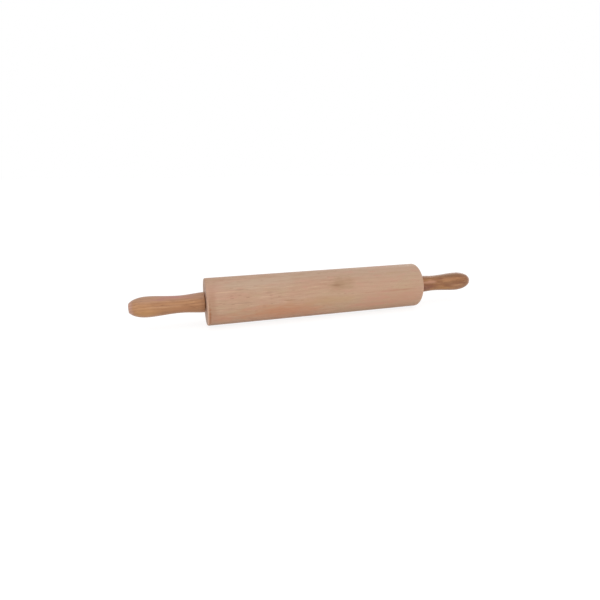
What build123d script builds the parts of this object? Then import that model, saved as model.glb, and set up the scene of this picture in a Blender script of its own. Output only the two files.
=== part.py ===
from build123d import *
from math import asin, cos, pi, sin
import os

# A wooden rolling pin with a turning barrel and two handles.
# The barrel turns on two bushes round a steel axle. The handles are glued onto the ends of the
# axle, so they stay still in the hands while the barrel rolls, and a thrust washer keeps each of
# them off the barrel. The axle lies along X, and the barrel stands on the worktop, the plane
# z = 0, with the origin under its middle.
# All lengths are in millimetres. An end's pieces are described for the end towards +X.

# Barrel
barrel_length = 300.0
barrel_diameter = 61.4
barrel_edge_radius = 1.8

# Axle
axle_diameter = 8.0
axle_tail_length = 48.0
axle_chamfer = 0.6

# Bush, pressed and glued into the end of the barrel's bore
running_clearance = 0.05
bush_length = 25.0
bush_wall = 2.0

# Thrust washer, between the barrel and the handle
end_play = 0.3
washer_clearance = 0.1
washer_width = 4.0
washer_thickness = 0.8

# Glue film round every piece that is glued into wood
glue_clearance = 0.05

# Handle
handle_length = 91.5
handle_base_diameter = 26.2
handle_neck_diameter = 22.2
handle_swell_diameter = 26.2
handle_tip_diameter = 12.4
handle_base_edge = 1.2

# Where the handle's neck and swell lie, as shares of its length from the base, and how far
# along from the neck to the swell the hollow curve of the grip turns into the full one
neck_position_share = 0.34
swell_position_share = 0.75
grip_turn_share = 0.65
# How steeply the flare leaves the base, against a straight line from there to the neck
flare_start_share = 1.5
# How long a curve keeps the slope that it has at each end, as a share of its length
curve_reach_share = 1 / 3
# How full the nose is: an ellipse at 1, and squarer as it falls
nose_fullness_share = 0.9

# The barrel's round edges and the nose of a handle are turned in a few straight cuts
barrel_edge_cuts = 3
nose_cuts = 5

# Diameters that follow from the fits
bush_bore_diameter = axle_diameter + 2 * running_clearance
bush_outer_diameter = bush_bore_diameter + 2 * bush_wall
barrel_bore_diameter = bush_outer_diameter + 2 * glue_clearance
washer_bore_diameter = axle_diameter + 2 * washer_clearance
washer_outer_diameter = washer_bore_diameter + 2 * washer_width
handle_bore_diameter = axle_diameter + 2 * glue_clearance

# Places along the axle, worked outwards from the middle of the barrel
barrel_end = barrel_length / 2
bush_start = barrel_end - bush_length
washer_start = barrel_end + end_play
handle_start = washer_start + washer_thickness
handle_end = handle_start + handle_length
axle_end = handle_start + axle_tail_length
neck_place = handle_start + neck_position_share * handle_length
swell_place = handle_start + swell_position_share * handle_length

axle_height = barrel_diameter / 2


def turned(*lines):
    """Spins a closed half outline, drawn as place along the axle and radius, about the axle."""
    return revolve(Plane.XZ * make_face(lines), Axis.X, clean=False)


def tube(start, length, outer_diameter, inner_diameter):
    """A sleeve or a ring round the axle."""
    section = Circle(outer_diameter / 2) - Circle(inner_diameter / 2)
    return Plane.YZ.offset(start) * extrude(section, length)


def eased_curve(start, start_slope, end, end_slope):
    """A smooth stretch of an outline that leaves and arrives at the given slopes."""
    reach = curve_reach_share * (end[0] - start[0])
    after_start = (start[0] + reach, start[1] + start_slope * reach)
    before_end = (end[0] - reach, end[1] - end_slope * reach)
    return Bezier(start, after_start, before_end, end)


def other_end(piece):
    """The same piece turned end for end, for the end towards -X."""
    return Rot(0, 0, 180) * piece


def make_barrel():
    """The roller: a cylinder with round edges, bored right through."""
    bore_radius = barrel_bore_diameter / 2
    turns = [pi / 2 * cut / barrel_edge_cuts for cut in range(barrel_edge_cuts + 1)]
    edge = [
        (
            barrel_end - barrel_edge_radius * (1 - sin(turn)),
            barrel_diameter / 2 - barrel_edge_radius * (1 - cos(turn)),
        )
        for turn in turns
    ]
    far_edge = [(-place, radius) for place, radius in reversed(edge)]
    bore = [(barrel_end, bore_radius), (-barrel_end, bore_radius)]
    return turned(Polyline(*far_edge, *edge, *bore, close=True))


def make_axle():
    """The steel rod, with a chamfer at each end that leads it into its handle."""
    rod = Plane.YZ.offset(-axle_end) * extrude(Circle(axle_diameter / 2), 2 * axle_end)
    return chamfer(rod.edges().filter_by(GeomType.CIRCLE), axle_chamfer)


def make_bush():
    """The sleeve that carries one end of the barrel, flush with it."""
    return tube(bush_start, bush_length, bush_outer_diameter, bush_bore_diameter)


def make_thrust_washer():
    """The flat ring that keeps the turning barrel off the handle."""
    return tube(washer_start, washer_thickness, washer_outer_diameter, washer_bore_diameter)


def make_handle():
    """The turned grip: flared base, slim neck, full swell and rounded nose, bored for the axle."""
    bore_radius = handle_bore_diameter / 2
    base_radius = handle_base_diameter / 2
    neck_radius = handle_neck_diameter / 2
    swell_radius = handle_swell_diameter / 2
    tip_radius = handle_tip_diameter / 2

    bore_mouth = (handle_start, bore_radius)
    base = (handle_start + handle_base_edge, base_radius)
    rim = Polyline(bore_mouth, (handle_start, base_radius - handle_base_edge), base)

    # The flare draws in to the neck
    neck = (neck_place, neck_radius)
    straight_slope = (neck_radius - base_radius) / (neck_place - base[0])
    flare = eased_curve(base, flare_start_share * straight_slope, neck, 0)

    # The grip is a hollow curve and a full one, which meet in line at the turn
    swell = (swell_place, swell_radius)
    turn_place = neck_place + grip_turn_share * (swell_place - neck_place)
    turn = (turn_place, neck_radius + grip_turn_share * (swell_radius - neck_radius))
    turn_slope = 2 * (swell_radius - neck_radius) / (swell_place - neck_place)
    hollow = eased_curve(neck, 0, turn, turn_slope)
    full = eased_curve(turn, turn_slope, swell, 0)

    # The nose follows a squarish ellipse, which the flat tip cuts off
    fullness = nose_fullness_share
    cut_angle = asin((tip_radius / swell_radius) ** (1 / fullness))
    nose_reach = (handle_end - swell_place) / cos(cut_angle) ** fullness
    angles = [pi / 2 - (pi / 2 - cut_angle) * cut / nose_cuts for cut in range(nose_cuts + 1)]
    along = [swell_place + nose_reach * max(cos(a), 0) ** fullness for a in angles]
    nose = Polyline(*[(x, swell_radius * sin(a) ** fullness) for x, a in zip(along, angles)])

    bore_end = (axle_end, bore_radius)
    inside = Polyline((handle_end, tip_radius), (handle_end, 0), (axle_end, 0), bore_end, bore_mouth)
    return turned(rim, flare, hollow, full, nose, inside)


pieces = {"barrel": make_barrel(), "axle": make_axle()}
end_pieces = {
    "bush": make_bush(),
    "thrust_washer": make_thrust_washer(),
    "handle": make_handle(),
}
for name, piece in end_pieces.items():
    pieces["right_" + name] = piece
    pieces["left_" + name] = other_end(piece)

os.makedirs("parts", exist_ok=True)
for name, piece in pieces.items():
    export_step(Pos(0, 0, axle_height) * piece, "parts/" + name + ".step")
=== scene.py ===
# %% [markdown]
# # A wooden rolling pin
#
# This lesson dresses a finished CAD model of a rolling pin: a pale beech barrel that turns on a
# steel axle, between two darker turned handles. The CAD model is loaded as a fixed frame, so each
# new piece is made at its real size and in its real place, in metres, and nothing has to be
# fitted afterwards.

from math import pi, radians

import bmesh
import bpy
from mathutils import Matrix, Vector


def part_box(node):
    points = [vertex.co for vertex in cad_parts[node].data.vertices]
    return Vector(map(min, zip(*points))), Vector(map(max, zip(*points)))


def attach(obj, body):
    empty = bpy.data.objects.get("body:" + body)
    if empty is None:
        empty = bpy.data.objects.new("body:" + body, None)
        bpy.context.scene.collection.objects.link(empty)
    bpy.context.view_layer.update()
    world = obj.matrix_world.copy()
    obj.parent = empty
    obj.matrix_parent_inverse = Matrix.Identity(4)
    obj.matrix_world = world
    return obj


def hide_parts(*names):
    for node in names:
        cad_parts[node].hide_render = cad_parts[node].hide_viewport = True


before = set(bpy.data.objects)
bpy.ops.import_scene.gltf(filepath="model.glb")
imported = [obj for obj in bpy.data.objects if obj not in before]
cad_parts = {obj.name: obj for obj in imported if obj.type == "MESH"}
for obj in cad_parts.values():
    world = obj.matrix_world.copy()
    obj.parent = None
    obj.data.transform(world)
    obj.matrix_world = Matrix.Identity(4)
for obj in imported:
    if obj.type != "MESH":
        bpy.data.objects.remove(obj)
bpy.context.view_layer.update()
print("nodes:", sorted(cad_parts))

# %% [markdown]
# The pin lies along X and stands on the floor, the plane z = 0. Both ends are alike, so a place
# along the axle is worked out once, for the end towards +X. The boxes of the CAD nodes give every
# size that the new pieces and their finishes need.

# %% Sizes from the frame
axle_low, axle_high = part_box("axle")
axle_height = (axle_low.z + axle_high.z) / 2
axle_end, axle_radius = axle_high.x, (axle_high.z - axle_low.z) / 2
barrel_low, barrel_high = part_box("barrel")
barrel_end, barrel_radius = barrel_high.x, (barrel_high.z - barrel_low.z) / 2
handle_low, handle_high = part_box("right_handle")
handle_base, handle_tip = handle_low.x, handle_high.x
handle_radius = (handle_high.z - handle_low.z) / 2
bush_low, bush_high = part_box("right_bush")
bush_radius = (bush_high.z - bush_low.z) / 2
glue_film = 0.00005  # round each piece that is glued into wood
print("the axle lies", round(axle_height * 1000, 2), "mm above the floor")
print("the barrel ends at", round(barrel_end, 4), "and the handles at", round(handle_tip, 4))

# %% [markdown]
# ## The camera
#
# The pin is seen from in front, a little from the left and from above, so its left end is the
# nearer one. A camera looks along its own -Z, so the direction of view is turned into a rotation
# with to_track_quat. The lens is given for a square picture, 36 mm wide.

# %% Camera
camera_data = bpy.data.cameras.new("camera")
camera_data.sensor_fit = "HORIZONTAL"
camera_data.sensor_width = 36.0
camera_data.lens = 26.79
camera_data.clip_start = 0.01
camera = bpy.data.objects.new("camera", camera_data)
camera.location = (-0.1905, -0.5594, 0.2015)
looking = Vector((0.2743, 0.9158, -0.2935))
camera.rotation_euler = looking.to_track_quat("-Z", "Y").to_euler()
bpy.context.scene.collection.objects.link(camera)
bpy.context.scene.camera = camera
bpy.context.scene.view_settings.view_transform = "Standard"
print("camera at", tuple(camera.location))

# %% [markdown]
# ## Nodes from code
#
# Every finish in this lesson is a tree of nodes. These first helpers are the ones that all the
# others need. One sets a socket, either to a number or to the output of another node. The next
# adds a Math node and returns its output, so that sums can be nested like sums in Python, and the
# third is its most frequent use.

# %% Link and calculate
def plug(tree, value, socket):
    """Sets a socket to a number, or links it to another node's output."""
    if isinstance(value, bpy.types.NodeSocket):
        tree.links.new(value, socket)
    else:
        socket.default_value = value


def calculate(tree, operation, *values, clamp=False):
    """A Math node."""
    node = tree.nodes.new("ShaderNodeMath")
    node.operation = operation
    node.use_clamp = clamp
    for socket, value in zip(node.inputs, values):
        plug(tree, value, socket)
    return node.outputs[0]


def both(tree, mask, other):
    """The product of two masks: 1 where both are."""
    return calculate(tree, "MULTIPLY", mask, other)

# %% [markdown]
# ## Floor and background
#
# A product picture has a white ground and soft light. More light would turn the floor white, but
# it would bleach the wood too. So the floor really is a pale matt surface, and only for the
# camera, and in reflections, most of its brightness is its own. It then shows as white with a
# faint shadow where the pin stands. The world does the same: white to look at, softer as light.
#
# A Light Path node tells a material what kind of ray has met it, and so makes that difference.

# %% Which rays see the ground
def seen_directly(tree):
    """1 for rays from the camera or off gloss and glass, and 0 for rays of soft light."""
    path = tree.nodes.new("ShaderNodeLightPath")
    either = calculate(tree, "MAXIMUM", path.outputs["Is Camera Ray"], path.outputs["Is Glossy Ray"])
    return calculate(tree, "MAXIMUM", either, path.outputs["Is Transmission Ray"])


def matt(tree, grey):
    """A matt surface of one grey, in linear light."""
    node = tree.nodes.new("ShaderNodeBsdfDiffuse")
    node.inputs["Color"].default_value = (grey, grey, grey, 1)
    return node.outputs[0]

# %% Floor finish
real_grey, shown_grey, shown_glow = 0.92, 0.24, 0.85
floor_finish = bpy.data.materials.new("floor_white")
floor_finish.use_nodes = True
tree = floor_finish.node_tree
tree.nodes.clear()
glow = tree.nodes.new("ShaderNodeEmission")
glow.inputs["Strength"].default_value = shown_glow
shown = tree.nodes.new("ShaderNodeAddShader")
tree.links.new(matt(tree, shown_grey), shown.inputs[0])
tree.links.new(glow.outputs[0], shown.inputs[1])
choice = tree.nodes.new("ShaderNodeMixShader")
tree.links.new(seen_directly(tree), choice.inputs[0])
tree.links.new(matt(tree, real_grey), choice.inputs[1])
tree.links.new(shown.outputs[0], choice.inputs[2])
output = tree.nodes.new("ShaderNodeOutputMaterial")
tree.links.new(choice.outputs[0], output.inputs["Surface"])
print("the floor gives", shown_glow, "of its brightness itself")

# %% Floor
floor_mesh = bpy.data.meshes.new("floor")
floor_work = bmesh.new()
bmesh.ops.create_grid(floor_work, x_segments=1, y_segments=1, size=6.0)
floor_work.to_mesh(floor_mesh)
floor_work.free()
floor_mesh.materials.append(floor_finish)
floor = bpy.data.objects.new("floor", floor_mesh)
bpy.context.scene.collection.objects.link(floor)
print("floor is", tuple(floor.dimensions))

# %% World
soft_light = 0.70
world = bpy.data.worlds.new("studio")
bpy.context.scene.world = world
world.use_nodes = True
tree = world.node_tree
sky = tree.nodes["Background"]
sky.inputs["Color"].default_value = (1, 1, 1, 1)
brightness = calculate(tree, "MULTIPLY_ADD", seen_directly(tree), 1 - soft_light, soft_light)
tree.links.new(brightness, sky.inputs["Strength"])
print("the world gives soft light of strength", soft_light)

# %% [markdown]
# ## Lamps
#
# Most of the light comes from the world, so the shading is soft. Four wide lamps only lean it:
# one overhead makes the top of the barrel a little brighter, one in front fills the shade under
# it, one on the left lights the end that faces that way, and one behind does the same for the
# other end and the back, which can be looked at too. A lamp's light falls on a surface in
# proportion to its power, and to one over its distance squared.

# %% Lamps
def make_lamp(name, place, target, size, power):
    """A round area lamp of that diameter in metres and power in watts."""
    data = bpy.data.lights.new(name, "AREA")
    data.shape = "DISK"
    data.size = size
    data.energy = power
    lamp = bpy.data.objects.new(name, data)
    lamp.location = place
    lamp.rotation_euler = (Vector(target) - Vector(place)).to_track_quat("-Z", "Y").to_euler()
    bpy.context.scene.collection.objects.link(lamp)
    print(name, "gives", power, "W from", place)


pin_middle = (0, 0, 0.031)
make_lamp("overhead", (-0.15, -0.35, 1.3), pin_middle, size=0.9, power=3.2)
make_lamp("front_fill", (0.2, -1.4, 0.12), pin_middle, size=0.8, power=6.4)
make_lamp("left_fill", (-1.2, -0.8, 0.5), pin_middle, size=0.7, power=1.2)
make_lamp("back_fill", (1.1, 1.1, 0.6), pin_middle, size=0.9, power=4.5)

# %% [markdown]
# ## Colours and materials
#
# A shader works with linear colours, while a picture editor shows them as sRGB, from 0 to 255. It
# is easier to think in the second, so paint() turns one into the other. Each material starts with
# a Principled shader and the object's own coordinates. Those are metres from the origin here, so a
# pattern can be given its real size.

# %% Start a material
def paint(red, green, blue):
    """A colour as a picture editor shows it, made linear for a shader."""
    def linear(part):
        share = part / 255
        return share / 12.92 if share <= 0.04045 else ((share + 0.055) / 1.055) ** 2.4
    return linear(red), linear(green), linear(blue), 1.0


def new_material(name):
    """An empty material with its shader, and the object's own coordinates."""
    material = bpy.data.materials.new(name)
    material.use_nodes = True
    tree = material.node_tree
    tree.nodes.clear()
    shader = tree.nodes.new("ShaderNodeBsdfPrincipled")
    output = tree.nodes.new("ShaderNodeOutputMaterial")
    tree.links.new(shader.outputs[0], output.inputs["Surface"])
    place = tree.nodes.new("ShaderNodeTexCoord").outputs["Object"]
    return material, tree, shader, place


print("a pale wood is", [round(part, 3) for part in paint(196, 162, 138)], "in linear light")

# %% [markdown]
# ## Patterns
#
# Noise is the start of nearly every natural surface. A Mapping node of the type Texture centres,
# turns and stretches a pattern, and its scale is simply how large one blotch is, in metres. A
# smooth step then turns such a value into a mask with soft edges.

# %% Place and spread a pattern
def moved(tree, place, centre=(0, 0, 0), turn=(0, 0, 0), size=(1, 1, 1)):
    """Coordinates for a pattern with that centre and turn, whose unit has that size."""
    node = tree.nodes.new("ShaderNodeMapping")
    node.vector_type = "TEXTURE"
    tree.links.new(place, node.inputs["Vector"])
    node.inputs["Location"].default_value = centre
    node.inputs["Rotation"].default_value = turn
    node.inputs["Scale"].default_value = size
    return node.outputs[0]


def noise(tree, place, size, centre=(0, 0, 0), detail=2.0, roughness=0.5):
    """A cloudy value round 0.5, in blotches of that size."""
    node = tree.nodes.new("ShaderNodeTexNoise")
    tree.links.new(moved(tree, place, centre=centre, size=size), node.inputs["Vector"])
    node.inputs["Scale"].default_value = 1.0
    node.inputs["Detail"].default_value = detail
    node.inputs["Roughness"].default_value = roughness
    return node.outputs[0]


def between(tree, value, low, high):
    """A smooth step from 0 at low to 1 at high, which may be the smaller of the two."""
    node = tree.nodes.new("ShaderNodeMapRange")
    node.interpolation_type = "SMOOTHSTEP"
    plug(tree, value, node.inputs["Value"])
    node.inputs["From Min"].default_value = low
    node.inputs["From Max"].default_value = high
    return node.outputs["Result"]

# %% [markdown]
# A wood finish is a pile of thin layers: a colour, a mask that says where it shows, and how
# strongly it covers what lies under it. A table of such rows reads like a recipe, and a row can
# be changed without touching the others.

# %% Lay colours over each other
def over(tree, first, second, mask, strength=1.0):
    """Lays the second colour over the first where the mask is 1."""
    node = tree.nodes.new("ShaderNodeMix")
    node.data_type = "RGBA"
    plug(tree, calculate(tree, "MULTIPLY", mask, strength), node.inputs["Factor"])
    plug(tree, first, node.inputs[6])
    plug(tree, second, node.inputs[7])
    return node.outputs[2]


def layered(tree, tone, layers):
    """Lays the rows of a table of (colour, mask, strength) over a tone, one by one."""
    for colour, mask, strength in layers:
        tone = over(tree, tone, colour, mask, strength)
    return tone


def roughen(tree, shader, height, depth):
    """Turns a height from 0 to 1 into bumps that are depth metres deep."""
    node = tree.nodes.new("ShaderNodeBump")
    node.inputs["Distance"].default_value = depth
    plug(tree, height, node.inputs["Height"])
    tree.links.new(node.outputs[0], shader.inputs["Normal"])

# %% [markdown]
# ## Wood, as it grows
#
# Wood looks right from every side only if its pattern fills the block that the piece was cut
# from. So nothing is wrapped round the surface. Growth rings are tubes round the middle of the
# tree, the pith, which lies outside a piece like this one. Where the lathe cuts along the rings
# they show as long arches, and on the ends they show as arcs, all from the same nodes.

# %% Growth rings
def parts_of(tree, place):
    """The X, Y and Z of a place."""
    node = tree.nodes.new("ShaderNodeSeparateXYZ")
    tree.links.new(place, node.inputs[0])
    return node.outputs


def from_line(tree, place):
    """How far a place is from the line y = z = 0."""
    _, y, z = parts_of(tree, place)
    squares = calculate(tree, "MULTIPLY_ADD", y, y, calculate(tree, "MULTIPLY", z, z))
    return calculate(tree, "SQRT", squares)


def growth_rings(tree, place, pith, lean, width):
    """0 in the pale spring wood, rising to 1 at the darker line that ends each year's ring."""
    wander_size = (0.14, 0.045, 0.045)
    wander_widths = 2.4  # how many rings far a line may stray
    trunk = moved(tree, place, centre=pith, turn=lean)
    wander = noise(tree, trunk, size=wander_size, detail=1.5)
    strayed = calculate(tree, "MULTIPLY_ADD", wander, wander_widths * width, from_line(tree, trunk))
    year = calculate(tree, "FRACT", calculate(tree, "DIVIDE", strayed, width))
    rise = between(tree, year, 0.15, 0.9)
    fall = between(tree, year, 0.92, 1.0)
    return calculate(tree, "SUBTRACT", rise, fall, clamp=True)

# %% [markdown]
# Between the rings run the fibres, which are noise stretched along the grain. Beech also has
# short dark flecks, the rays. A Voronoi pattern gives each fleck its own cell, and a random
# colour of the cell decides whether the fleck shows.

# %% Fibres and flecks
def fibres(tree, place, length, thickness):
    """Fine lines along the grain, as a value round 0.5."""
    return noise(tree, place, size=(length, thickness, thickness), detail=3, roughness=0.6)


def flecks(tree, place, length, thickness, share):
    """1 in short dashes along the grain and 0 round them. Share is how many of them show."""
    fleck_edge, fleck_core = 0.34, 0.12  # distances from the cell's middle, in cells
    cells = tree.nodes.new("ShaderNodeTexVoronoi")
    cells.inputs["Scale"].default_value = 1.0
    stretched = moved(tree, place, size=(length, thickness, thickness))
    tree.links.new(stretched, cells.inputs["Vector"])
    dash = between(tree, cells.outputs["Distance"], fleck_edge, fleck_core)
    pick = tree.nodes.new("ShaderNodeSeparateColor")
    tree.links.new(cells.outputs["Color"], pick.inputs[0])
    chosen = calculate(tree, "LESS_THAN", pick.outputs["Red"], share)
    return both(tree, dash, chosen)

# %% [markdown]
# Some marks belong to one spot of the piece: a knot under the surface, a warmer streak, a brown
# line beside a rim. Such a mark is the distance from that spot, measured in its own width, height
# and depth, and made ragged by noise. A table of marks is laid on like a table of layers. The faces
# cut across the grain are found by their place along the axle.

# %% Marks and end grain
def patch(tree, place, centre, reach):
    """1 at one spot, fading to 0 at its reach along X, Y and Z, with a ragged edge."""
    tear_size, tear = (0.014, 0.003, 0.003), 1.2
    patch_edge, patch_core = 1.6, 0.6
    distance = tree.nodes.new("ShaderNodeVectorMath")
    distance.operation = "LENGTH"
    tree.links.new(moved(tree, place, centre=centre, size=reach), distance.inputs[0])
    ragged = noise(tree, place, size=tear_size, detail=3)
    torn = calculate(tree, "MULTIPLY_ADD", ragged, tear, distance.outputs["Value"])
    return between(tree, torn, patch_edge, patch_core)


def marked(tree, place, tone, marks):
    """Lays the rows of a table of (centre, reach, strength, colour) over a tone, one by one."""
    for centre, reach, strength, colour in marks:
        tone = over(tree, tone, colour, patch(tree, place, centre, reach), strength)
    return tone


def outwards(tree, place):
    """How far a place lies from the middle of the pin, along the axle to either end."""
    return calculate(tree, "ABSOLUTE", parts_of(tree, place)["X"])

# %% [markdown]
# ## The barrel's finish
#
# The barrel is bare sanded beech: pale, slightly pink, with weak rings, fine lines along the
# grain and short darker flecks. Its figure is livelier in the left half, which is one more mask.
# First come the patterns. All of them have the size that they have in real wood.

# %% Patterns in the beech
barrel_finish, tree, shader, place = new_material("barrel_wood")
clouds = noise(tree, place, size=(0.070, 0.026, 0.026))
blush = noise(tree, place, size=(0.110, 0.033, 0.033), centre=(0.3, 0.1, 0.2))
mottle = noise(tree, place, size=(0.022, 0.006, 0.006), centre=(0.5, 0.2, 0.1), detail=3)
rings = growth_rings(tree, place, pith=(0, -0.050, -0.045), lean=(0, 0.035, 0.060), width=0.0058)
lines = fibres(tree, place, length=0.018, thickness=0.0015)
rays = flecks(tree, place, length=0.010, thickness=0.0015, share=0.16)
specks = flecks(tree, place, length=0.0032, thickness=0.0005, share=0.5)
along, _, height = parts_of(tree, place)
lively = calculate(tree, "MULTIPLY_ADD", between(tree, along, 0.08, -0.03), 0.65, 0.35)
print("the beech's patterns take", len(tree.nodes), "nodes")

# %% [markdown]
# Then come the colours. The tone drifts between pink and straw over a few centimetres, is greyer
# on top, where the grey is a painted reflection, and carries the rings, lines and flecks.

# %% Colours of the beech
tone = over(tree, paint(187, 151, 127), paint(184, 153, 126), between(tree, clouds, 0.3, 0.7))
beech_layers = [
    # colour, mask, strength
    # painted reflection: greyer and paler towards the top of the barrel
    (paint(184, 155, 134), between(tree, height, 0.036, 0.060), 0.60),
    (paint(184, 142, 118), between(tree, blush, 0.48, 0.72), 0.80),
    (paint(190, 144, 124), between(tree, mottle, 0.52, 0.72), 0.55),
    (paint(182, 154, 124), between(tree, mottle, 0.46, 0.28), 0.55),
    (paint(166, 126, 98), rings, 0.14),
    (paint(162, 120, 94), both(tree, between(tree, lines, 0.52, 0.76), lively), 0.60),
    (paint(204, 170, 144), both(tree, between(tree, lines, 0.46, 0.26), lively), 0.60),
    (paint(142, 98, 74), both(tree, rays, lively), 0.60),
    (paint(150, 110, 84), specks, 0.25),
]
tone = layered(tree, tone, beech_layers)
print("the beech has", len(beech_layers), "layers")

# %% [markdown]
# No two boards are alike. This one has a knot on the side that faces the camera, a few warm and
# straw-coloured areas, some single streaks, and a brown line beside its left rim. A pale patch on
# top is a painted reflection.

# %% Marks of the barrel
barrel_marks = [
    # centre, reach, strength, colour
    ((-0.055, -0.028, 0.019), (0.085, 0.030, 0.016), 0.80, paint(187, 133, 101)),  # warm, low
    ((0.004, -0.030, 0.0285), (0.070, 0.030, 0.009), 0.65, paint(182, 147, 113)),  # straw band
    ((0.112, -0.030, 0.022), (0.070, 0.030, 0.018), 0.60, paint(188, 142, 118)),  # pink, right
    ((0.075, -0.027, 0.0155), (0.045, 0.020, 0.006), 0.50, paint(192, 138, 118)),  # pink, low
    ((0.105, -0.028, 0.034), (0.050, 0.014, 0.0019), 0.45, paint(168, 116, 90)),  # red line
    ((-0.140, -0.024, 0.050), (0.030, 0.024, 0.014), 0.60, paint(190, 146, 126)),  # pink, left
    # painted reflection: a paler patch along the top of the barrel
    ((-0.080, -0.018, 0.056), (0.085, 0.024, 0.012), 0.60, paint(189, 164, 142)),  # pale top
    ((-0.135, -0.028, 0.014), (0.030, 0.024, 0.009), 0.60, paint(188, 134, 108)),  # warm corner
    ((0.026, -0.026, 0.048), (0.030, 0.020, 0.014), 0.70, paint(164, 132, 102)),  # round the knot
    ((0.022, -0.026, 0.0468), (0.011, 0.010, 0.0022), 0.60, paint(146, 108, 82)),  # the knot
    ((-0.107, -0.024, 0.0502), (0.011, 0.010, 0.0012), 0.65, paint(158, 128, 102)),  # dark streak
    ((-0.126, -0.024, 0.0486), (0.026, 0.010, 0.0011), 0.60, paint(204, 170, 142)),  # pale streak
    ((-0.072, -0.027, 0.0445), (0.009, 0.010, 0.0022), 0.55, paint(162, 130, 106)),  # dark dash
    ((-0.106, -0.030, 0.0345), (0.024, 0.010, 0.0018), 0.60, paint(162, 126, 104)),  # dark streak
    ((-0.047, -0.030, 0.0330), (0.010, 0.010, 0.0012), 0.55, paint(158, 126, 92)),  # dark dash
    ((-0.1435, -0.026, 0.033), (0.0085, 0.026, 0.034), 0.60, paint(166, 124, 98)),  # by the rim
    ((-0.1473, -0.026, 0.018), (0.0026, 0.026, 0.028), 0.90, paint(156, 104, 72)),  # rim line
]
tone = marked(tree, place, tone, barrel_marks)
print("the barrel has", len(barrel_marks), "marks")

# %% [markdown]
# The flat ends are cut across the grain, so they are paler, with the rings as arcs. Where the
# handle covers the end, a lighter and warmer colour is painted light, which keeps the narrow gap
# between them from looking black. The lower half of the round edge has a painted highlight, a
# paler band.

# %% Ends of the barrel
radius = from_line(tree, moved(tree, place, centre=(0, 0, axle_height)))
reached = outwards(tree, place)
end = between(tree, reached, barrel_end - 0.0003, barrel_end - 0.00002)
late_wood = calculate(tree, "POWER", rings, 3)
# painted light: a lighter, warmer colour where the handle covers the end, to brighten the shaded gap
painted_gap_light = between(tree, radius, handle_radius + 0.0006, handle_radius - 0.0004)
near_end = between(tree, reached, barrel_end - 0.0021, barrel_end - 0.0013)
outermost = between(tree, radius, barrel_radius - 0.0017, barrel_radius - 0.0008)
lower_half = between(tree, height, 0.046, 0.030)
# painted highlight: a paler band on the lower half of the rounded edge
painted_rim_highlight = both(tree, both(tree, near_end, outermost), lower_half)
end_layers = [
    # colour, mask, strength
    (paint(192, 160, 140), end, 0.75),
    (paint(146, 104, 80), both(tree, end, late_wood), 0.45),
    (paint(128, 90, 70), both(tree, end, specks), 0.35),
    (paint(224, 166, 122), both(tree, end, painted_gap_light), 0.90),
    (paint(212, 174, 150), painted_rim_highlight, 0.70),
]
tone = layered(tree, tone, end_layers)
tree.links.new(tone, shader.inputs["Base Color"])
print("the barrel's ends have", len(end_layers), "layers")

# %% [markdown]
# Sanded beech is dull, a little less so between the fibres. The fibres stand up and the specks
# are small pits, a tenth of a millimetre deep at most.

# %% Gloss and bumps of the barrel
tree.links.new(calculate(tree, "MULTIPLY_ADD", lines, 0.18, 0.50), shader.inputs["Roughness"])
shader.inputs["Specular IOR Level"].default_value = 0.25
roughen(tree, shader, calculate(tree, "MULTIPLY_ADD", specks, -0.5, lines), depth=0.0001)
print("barrel_wood has", len(tree.nodes), "nodes")

# %% [markdown]
# ## The handles' finish
#
# The handles are a darker, more orange wood with stronger rings, under a satin varnish. The right
# handle comes from a darker board than the left one, so the tone depends on the side. Along the
# top of the left one a greyer colour is a painted reflection, and underneath a browner colour is
# painted shade.

# %% Patterns in the handles
handle_finish, tree, shader, place = new_material("handle_wood")
clouds = between(tree, noise(tree, place, size=(0.034, 0.014, 0.014)), 0.3, 0.7)
rings = growth_rings(tree, place, pith=(0, 0.024, 0.058), lean=(0, 0.05, 0.06), width=0.0036)
lines = fibres(tree, place, length=0.026, thickness=0.0021)
dashes = flecks(tree, place, length=0.012, thickness=0.0016, share=0.22)
pores = flecks(tree, place, length=0.005, thickness=0.0005, share=0.5)
along, _, height = parts_of(tree, place)
right = between(tree, along, -0.05, 0.05)
left = between(tree, along, 0.05, -0.05)
print("the handles' patterns take", len(tree.nodes), "nodes")

# %% Colours of the handles
left_tone = over(tree, paint(186, 138, 98), paint(172, 124, 86), clouds)
right_tone = over(tree, paint(152, 104, 66), paint(130, 86, 58), clouds)
handle_layers = [
    # colour, mask, strength
    (paint(134, 86, 56), rings, 0.30),
    (paint(134, 84, 52), between(tree, lines, 0.50, 0.74), 0.50),
    (paint(206, 158, 112), between(tree, lines, 0.46, 0.26), 0.50),
    (paint(106, 66, 44), dashes, 0.50),
    (paint(110, 70, 46), pores, 0.25),
    # painted reflection: greyer along the top of the left handle
    (paint(172, 138, 120), both(tree, between(tree, height, 0.035, 0.043), left), 0.45),
    # painted shade: browner along the underside of the left handle
    (paint(158, 116, 84), both(tree, between(tree, height, 0.031, 0.024), left), 0.45),
]
tone = layered(tree, over(tree, left_tone, right_tone, right), handle_layers)
print("the handles have", len(handle_layers), "layers")

# %% [markdown]
# The handles have marks of their own: on the right one a dark patch at the base with a light
# band above it, and light and dark streaks along the swell. The left one is calmer.

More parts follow.
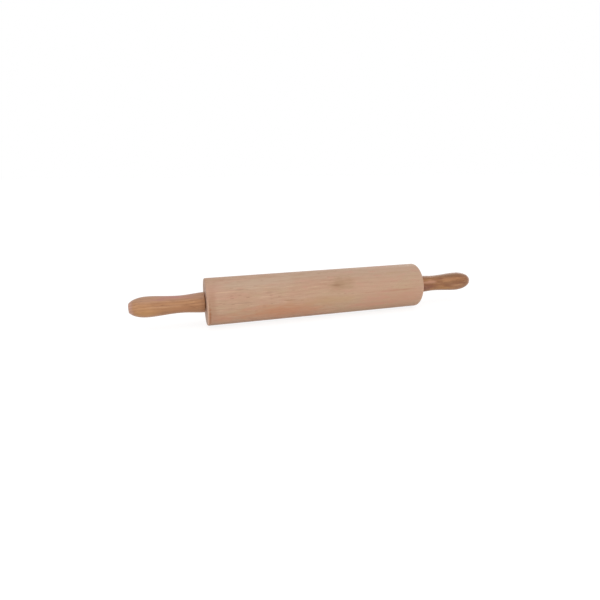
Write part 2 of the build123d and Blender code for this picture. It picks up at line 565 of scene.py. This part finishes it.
# %% Marks of the handles
handle_marks = [
    # centre, reach, strength, colour
    ((0.166, -0.011, 0.028), (0.020, 0.012, 0.008), 0.90, paint(128, 80, 58)),  # dark base
    ((0.171, -0.010, 0.0357), (0.018, 0.010, 0.0030), 0.75, paint(196, 146, 120)),  # light band
    ((0.205, -0.011, 0.0375), (0.034, 0.012, 0.0038), 0.55, paint(190, 138, 96)),  # light streak
    ((0.206, -0.012, 0.0330), (0.030, 0.010, 0.0022), 0.55, paint(142, 98, 62)),  # dark streak
    ((0.191, -0.008, 0.0392), (0.007, 0.006, 0.0020), 0.60, paint(118, 64, 40)),  # small fleck
    ((0.195, -0.010, 0.024), (0.036, 0.012, 0.004), 0.55, paint(176, 126, 70)),  # gold, below
    ((0.200, -0.007, 0.0425), (0.044, 0.012, 0.004), 0.60, paint(136, 100, 66)),  # brown top
    ((0.218, -0.012, 0.0275), (0.020, 0.010, 0.005), 0.50, paint(182, 136, 100)),  # pale nose
    ((-0.182, -0.011, 0.027), (0.024, 0.012, 0.006), 0.60, paint(172, 120, 84)),  # left, warm
    ((-0.222, -0.012, 0.026), (0.024, 0.012, 0.009), 0.60, paint(186, 138, 86)),  # left, gold
    ((-0.188, -0.004, 0.0415), (0.034, 0.010, 0.0035), 0.80, paint(178, 124, 116)),  # left, pink
]
tone = marked(tree, place, tone, handle_marks)
print("the handles have", len(handle_marks), "marks")

# %% [markdown]
# The tips are cut across the grain, with the rings and pores as arcs and dots, and their paler colour
# is a painted sheen.
# The fibres fray the border of that pale area. The base faces the barrel across the gap, and the
# same light, warm colour is painted on it as painted light, as on the barrel there.

# %% Ends of the handles
reached = outwards(tree, place)
frayed = calculate(tree, "MULTIPLY_ADD", lines, 0.008, reached)
tip = between(tree, frayed, handle_tip - 0.0031, handle_tip + 0.0029)
late_wood = calculate(tree, "POWER", rings, 3)
end_layers = [
    # colour, mask, strength
    # painted sheen: the paler colour of the tips
    (paint(196, 154, 138), tip, 0.75),
    (paint(146, 96, 70), both(tree, tip, late_wood), 0.50),
    (paint(128, 82, 60), both(tree, tip, pores), 0.40),
    # painted light: the base's lighter, warmer colour keeps the gap beside it from looking black
    (paint(224, 166, 122), between(tree, reached, handle_base + 0.0003, handle_base), 0.90),
]
tone = layered(tree, tone, end_layers)
tree.links.new(tone, shader.inputs["Base Color"])
print("the handles' ends have", len(end_layers), "layers")

# %% [markdown]
# The varnish is the shader's coat: a clear, nearly smooth layer with its own faint reflection. It
# fills the wood's pores, so the bumps are lower than the barrel's.

# %% Varnish and bumps of the handles
tree.links.new(calculate(tree, "MULTIPLY_ADD", lines, 0.16, 0.36), shader.inputs["Roughness"])
shader.inputs["Specular IOR Level"].default_value = 0.25
shader.inputs["Coat Weight"].default_value = 0.12
shader.inputs["Coat Roughness"].default_value = 0.3
roughen(tree, shader, lines, depth=0.00006)
print("handle_wood has", len(tree.nodes), "nodes")

# %% [markdown]
# ## Turned pieces
#
# The barrel and the handles come off a lathe, so they are made as a lathe makes them. Half of the
# outline is drawn as a Bezier curve in the plane y = 0, and Blender turns that curve into short
# edges. A curve keeps the table of points short, and its handles say how the wood flows.

# %% Draw an outline
def outline_edges(points, fineness):
    """Draws a curve through (place, radius, lead_in, lead_out) points, and returns its edges.

    A lead is the (place, radius) of a Bezier handle, or None where the outline has a corner.
    """
    curve = bpy.data.curves.new("outline", "CURVE")
    curve.dimensions = "3D"
    spline = curve.splines.new("BEZIER")
    spline.resolution_u = fineness
    spline.bezier_points.add(len(points) - 1)
    for drawn, (place, radius, lead_in, lead_out) in zip(spline.bezier_points, points):
        here = Vector((place, 0, radius))
        drawn.handle_left_type = "FREE"
        drawn.handle_right_type = "FREE"
        drawn.co = here
        drawn.handle_left = here if lead_in is None else Vector((lead_in[0], 0, lead_in[1]))
        drawn.handle_right = here if lead_out is None else Vector((lead_out[0], 0, lead_out[1]))
    holder = bpy.data.objects.new("outline", curve)
    mesh = bpy.data.meshes.new_from_object(holder)
    bpy.data.objects.remove(holder)
    bpy.data.curves.remove(curve)
    return mesh

# %% [markdown]
# The spin operator then swings those edges once round the axle. A full spin with use_merge joins
# the last copy to the first. Points that lie on the axle all meet in one place, so doubles are
# merged before the normals are made to point outwards. Edges where the outline turns sharply stay
# sharp, and everything else is shaded smooth.

# %% Spin an outline
def spin_outline(name, outline, steps, finish):
    """Spins an outline once round the axle and makes it a piece."""
    same_place, sharp_turn = 1e-6, radians(32)
    work = bmesh.new()
    work.from_mesh(outline)
    bpy.data.meshes.remove(outline)
    bmesh.ops.remove_doubles(work, verts=work.verts, dist=same_place)
    everything = work.verts[:] + work.edges[:]
    bmesh.ops.spin(
        work, geom=everything, cent=(0, 0, 0), axis=(1, 0, 0), angle=2 * pi, steps=steps, use_merge=True
    )
    bmesh.ops.remove_doubles(work, verts=work.verts, dist=same_place)
    bmesh.ops.recalc_face_normals(work, faces=work.faces)
    bmesh.ops.translate(work, verts=work.verts, vec=(0, 0, axle_height))
    for face in work.faces:
        face.smooth = True
    for edge in work.edges:
        edge.smooth = len(edge.link_faces) == 2 and edge.calc_face_angle() < sharp_turn
    mesh = bpy.data.meshes.new(name)
    work.to_mesh(mesh)
    work.free()
    mesh.materials.append(finish)
    piece = bpy.data.objects.new(name, mesh)
    bpy.context.scene.collection.objects.link(piece)
    print(name, "has", len(mesh.polygons), "faces")
    return piece

# %% [markdown]
# ## The barrel
#
# The barrel's outline is a closed loop: the bore, the flat end, a rounded edge, the long straight
# side, and the same again. Beside each rounded edge stands one extra ring, so that the smooth
# shading of the edge doesn't creep along the flat end or the straight side.

# %% Outline of the barrel
quarter_lead = 0.5523  # how far a quarter circle's Bezier handle stands out, in radii
edge_radius, bore_bevel, guard = 0.0018, 0.0004, 0.001
bore = bush_radius + glue_film


def corner(place, radius):
    """A point where the outline has a corner."""
    return place, radius, None, None


def mirrored(lead):
    """A lead of the other end's outline."""
    return lead and (-lead[0], lead[1])


side_start, rim_start = barrel_end - edge_radius, barrel_radius - edge_radius
right_half = [
    corner(barrel_end - bore_bevel, bore),
    corner(barrel_end, bore + bore_bevel),
    corner(barrel_end, rim_start - guard),
    (barrel_end, rim_start, None, (barrel_end, rim_start + quarter_lead * edge_radius)),
    (side_start, barrel_radius, (side_start + quarter_lead * edge_radius, barrel_radius), None),
    corner(side_start - guard, barrel_radius),
]
left_half = [
    (-place, radius, mirrored(lead_out), mirrored(lead_in))
    for place, radius, lead_in, lead_out in reversed(right_half)
]
barrel_outline = right_half + left_half + right_half[:1]
print("the barrel's outline has", len(barrel_outline), "points")

# %% Make the barrel
barrel = spin_outline(
    "barrel_turned", outline_edges(barrel_outline, fineness=8), steps=160, finish=barrel_finish
)
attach(barrel, "roller")
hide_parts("barrel")

# %% [markdown]
# ## The handles
#
# Each handle starts as a flared base, draws in to a slim neck, fills out to the swell that sits
# in the palm, and ends in a rounded nose with a small flat. At the neck and the swell both leads
# are level, which is what makes a turned curve flow. The outline starts and ends on the axle, so
# the blind bore for the axle's tail and the nose both close.

# %% Outline of the handles
handle_shape = [
    # millimetres from the base and radius: the point, its lead in and its lead out
    ((0, 12.6), None, (0, 12.9)),
    ((0.5, 13.1), (0.2, 13.1), (9.0, 13.0)),
    ((31.0, 11.1), (20.0, 11.1), (45.0, 11.1)),
    ((68.6, 13.1), (58.0, 13.1), (80.5, 13.1)),
    ((91.0, 6.3), (87.4, 10.0), (91.3, 5.9)),
    ((91.5, 5.4), (91.5, 5.7), None),
]


def handle_outline(side):
    """The outline of the handle at the side +1 or -1, from the bottom of its bore to its tip."""
    bore = axle_radius + glue_film

    def from_base(point):
        return point and (side * (handle_base + point[0] / 1000), point[1] / 1000)

    shape = [(*from_base(here), from_base(into), from_base(out)) for here, into, out in handle_shape]
    tail = corner(side * axle_end, bore)
    mouth = corner(side * handle_base, bore)
    return [corner(side * axle_end, 0), tail, mouth, *shape, corner(side * handle_tip, 0)]


print("a handle's outline has", len(handle_outline(1)), "points")

# %% Make the handles
for side, name in ((1, "right"), (-1, "left")):
    outline = outline_edges(handle_outline(side), fineness=12)
    handle = spin_outline(name + "_grip", outline, steps=128, finish=handle_finish)
    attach(handle, "handles_and_axle")
    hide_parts(name + "_handle")

# %% [markdown]
# ## Steel, fibre and nylon
#
# The axle, the thrust washers and the bushes keep their CAD shapes, which are right as they are.
# They only need their finishes. The axle is ground, so its fine marks run round the rod, and it
# has a few duller stains.

# %% Ground steel
axle_finish, tree, shader, place = new_material("axle_steel")
marks = noise(tree, place, size=(0.0003, 0.025, 0.025), detail=4)
stains = noise(tree, place, size=(0.017, 0.017, 0.017))
tone = over(tree, paint(206, 206, 204), paint(176, 176, 175), between(tree, marks, 0.35, 0.7))
tone = over(tree, tone, paint(184, 182, 178), between(tree, stains, 0.5, 0.8))
tree.links.new(tone, shader.inputs["Base Color"])
tree.links.new(calculate(tree, "MULTIPLY_ADD", marks, 0.25, 0.2), shader.inputs["Roughness"])
shader.inputs["Metallic"].default_value = 1.0
roughen(tree, shader, marks, depth=0.00002)
print("axle_steel has", len(tree.nodes), "nodes")

# %% [markdown]
# The washers are punched from brown fibre, which is pressed paper, so they are dull and mottled
# on the scale of a millimetre.

# %% Pressed fibre
washer_finish, tree, shader, place = new_material("washer_fibre")
mottle = noise(tree, place, size=(0.0012, 0.0012, 0.0012), detail=4)
clouds = noise(tree, place, size=(0.006, 0.006, 0.006))
tone = over(tree, paint(132, 84, 58), paint(154, 102, 72), between(tree, mottle, 0.35, 0.65))
tone = over(tree, tone, paint(118, 74, 52), between(tree, clouds, 0.45, 0.7), 0.6)
tree.links.new(tone, shader.inputs["Base Color"])
tree.links.new(calculate(tree, "MULTIPLY_ADD", mottle, 0.2, 0.6), shader.inputs["Roughness"])
roughen(tree, shader, mottle, depth=0.00003)
print("washer_fibre has", len(tree.nodes), "nodes")

# %% [markdown]
# The bushes are dark nylon with the faint grain of their mould.

# %% Moulded nylon
bush_finish, tree, shader, place = new_material("bush_nylon")
grain = noise(tree, place, size=(0.0011, 0.0011, 0.0011), detail=3)
clouds = noise(tree, place, size=(0.011, 0.011, 0.011))
tone = over(tree, paint(62, 55, 50), paint(78, 70, 63), between(tree, clouds, 0.3, 0.7))
tree.links.new(tone, shader.inputs["Base Color"])
tree.links.new(calculate(tree, "MULTIPLY_ADD", grain, 0.2, 0.38), shader.inputs["Roughness"])
roughen(tree, shader, grain, depth=0.00002)
print("bush_nylon has", len(tree.nodes), "nodes")

# %% [markdown]
# A CAD node that stays is dressed by giving its object's material slots the new finish. Its mesh
# and its place aren't touched.

# %% Dress the small pieces
def dress(node, finish):
    """Gives a CAD node one finish."""
    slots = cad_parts[node].data.materials
    slots.clear()
    slots.append(finish)
    print(node, "wears", finish.name)


dress("axle", axle_finish)
for name in ("left", "right"):
    dress(name + "_thrust_washer", washer_finish)
    dress(name + "_bush", bush_finish)
